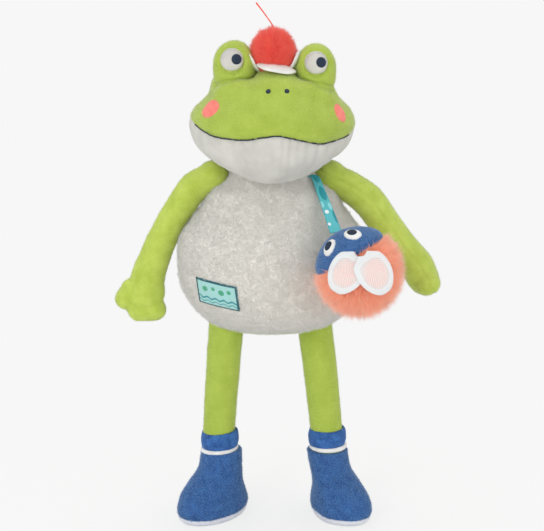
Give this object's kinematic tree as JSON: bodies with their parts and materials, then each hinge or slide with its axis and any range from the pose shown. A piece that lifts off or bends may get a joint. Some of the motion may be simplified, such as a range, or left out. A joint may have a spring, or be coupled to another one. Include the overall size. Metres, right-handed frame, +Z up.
{
  "type": "plush frog",
  "caption": "Standing stuffed frog in boots with a flower on its crown and a fluffy toy fly hanging from a ribbon; head, arms, legs and fly move.",
  "frame": {"origin": "on the ground under the middle of the frog, leaving out the ribbon and the fly", "axes": "+Z up, the frog faces -Y, its own left side is at +X"},
  "size_m": [0.2258, 0.1543, 0.3653],
  "materials": {
    "green_velour": "short green velour",
    "cream_fleece": "cream pile fleece",
    "white_velour": "smooth white velour",
    "filling": "polyester fibre filling",
    "navy_thread": "navy stitched thread",
    "coral_felt": "coral felt",
    "red_plush": "red pompom plush",
    "white_felt": "white felt",
    "blue_terry": "blue terry plush",
    "orange_fur": "peach long-pile fur",
    "aqua_ribbon": "printed satin ribbon",
    "teal_weave": "woven label",
    "white_tulle": "white tulle with a satin edge"
  },
  "bodies": {
    "torso": {"torso_front": "cream_fleece", "torso_back": "green_velour", "torso_stuffing": "filling", "label": "teal_weave", "ribbon_root": "aqua_ribbon"},
    "head": {"head_chin": "white_velour", "head_crown": "green_velour", "head_stuffing": "filling", "mouth_stitch": "navy_thread", "eye_mound_right": "green_velour", "eye_white_right": "white_felt", "pupil_right": "navy_thread", "cheek_right": "coral_felt", "nostril_right": "navy_thread", "eye_mound_left": "green_velour", "eye_white_left": "white_felt", "pupil_left": "navy_thread", "cheek_left": "coral_felt", "nostril_left": "navy_thread", "flower_ball": "red_plush", "petal_left": "white_felt", "petal_right": "white_felt", "petal_back_left": "white_felt", "petal_back_right": "white_felt", "petal_front": "white_felt", "flower_stem": "red_plush"},
    "arm_right": {"arm_right_cover": "green_velour", "arm_right_stuffing": "filling"},
    "arm_left": {"arm_left_cover": "green_velour", "arm_left_stuffing": "filling"},
    "leg_right": {"leg_right_cover": "green_velour", "leg_right_stuffing": "filling", "boot_right_upper": "blue_terry", "boot_right_stuffing": "filling", "boot_right_sole": "white_velour", "boot_right_piping": "white_velour", "boot_right_cuff": "blue_terry"},
    "leg_left": {"leg_left_cover": "green_velour", "leg_left_stuffing": "filling", "boot_left_upper": "blue_terry", "boot_left_stuffing": "filling", "boot_left_sole": "white_velour", "boot_left_piping": "white_velour", "boot_left_cuff": "blue_terry"},
    "ribbon": {"ribbon_drop": "aqua_ribbon"},
    "fly": {"fly_eye_right": "white_felt", "fly_pupil_right": "navy_thread", "fly_wing_right": "white_tulle", "fly_eye_left": "white_felt", "fly_pupil_left": "navy_thread", "fly_wing_left": "white_tulle", "fly_cap": "blue_terry", "fly_fluff": "orange_fur", "fly_stuffing": "filling"}
  },
  "joints": [
    {"name": "neck_turn", "type": "hinge", "parent": "torso", "child": "head", "pos_m": [-0.00261, 0.00649, 0.25], "axis": [0, 0, 1], "range_deg": [-20, 20]},
    {"name": "shoulder_right", "type": "hinge", "parent": "torso", "child": "arm_right", "pos_m": [-0.0431, 0.00649, 0.2445], "axis": [-1, 0, 0], "range_deg": [-45, 75]},
    {"name": "shoulder_left", "type": "hinge", "parent": "torso", "child": "arm_left", "pos_m": [0.03789, 0.00649, 0.2445], "axis": [-1, 0, 0], "range_deg": [-45, 75]},
    {"name": "hip_right", "type": "hinge", "parent": "torso", "child": "leg_right", "pos_m": [-0.03411, 0.00649, 0.128], "axis": [-1, 0, 0], "range_deg": [-25, 75]},
    {"name": "hip_left", "type": "hinge", "parent": "torso", "child": "leg_left", "pos_m": [0.0289, 0.00649, 0.128], "axis": [-1, 0, 0], "range_deg": [-25, 75]},
    {"name": "ribbon_lift", "type": "hinge", "parent": "torso", "child": "ribbon", "pos_m": [0.02972, -0.00656, 0.2473], "axis": [-0.9701, -0.2426, 0], "range_deg": [0, 40]},
    {"name": "fly_swing", "type": "hinge", "parent": "ribbon", "child": "fly", "pos_m": [0.04051, -0.04972, 0.2172], "axis": [-0.9701, -0.2426, 0], "range_deg": [0, 40]}
  ]
}
